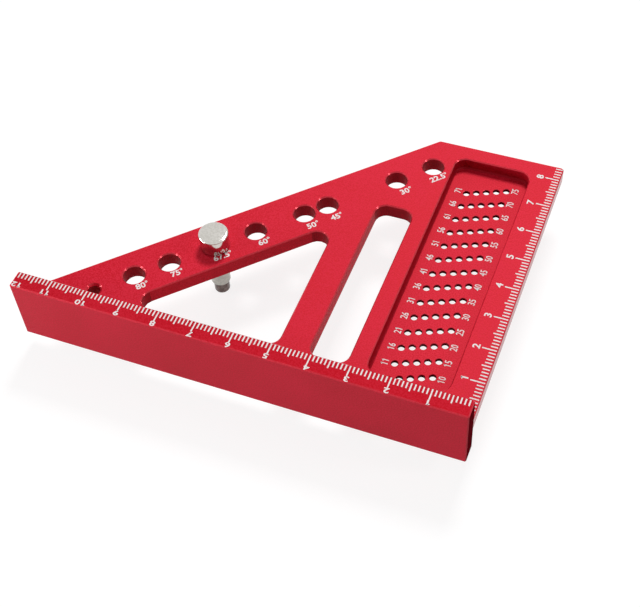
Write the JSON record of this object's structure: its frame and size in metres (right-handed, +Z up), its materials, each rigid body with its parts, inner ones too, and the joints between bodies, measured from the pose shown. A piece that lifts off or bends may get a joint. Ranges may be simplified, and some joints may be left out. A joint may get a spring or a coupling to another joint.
{
  "type": "multi-angle layout ruler",
  "caption": "Layout ruler with a T-section fence, a triangular plate with pin holes, windows and a scribing-hole pocket, and a loose locating pin that sets the angle.",
  "frame": {"origin": "under the middle of the bounding box, level with the lower end of the locating pin", "axes": "+X along the fence towards the end with the scale edge, +Y from the fence towards the far edge of the plate, +Z up out of the numbered face of the plate"},
  "size_m": [0.12, 0.09, 0.0246],
  "materials": {
    "anodised_aluminium": "satin red anodised, with white printed scales",
    "polished_steel": "polished"
  },
  "bodies": {
    "root": {"ruler_body": "anodised_aluminium", "locating_pin": "polished_steel"}
  },
  "joints": []
}
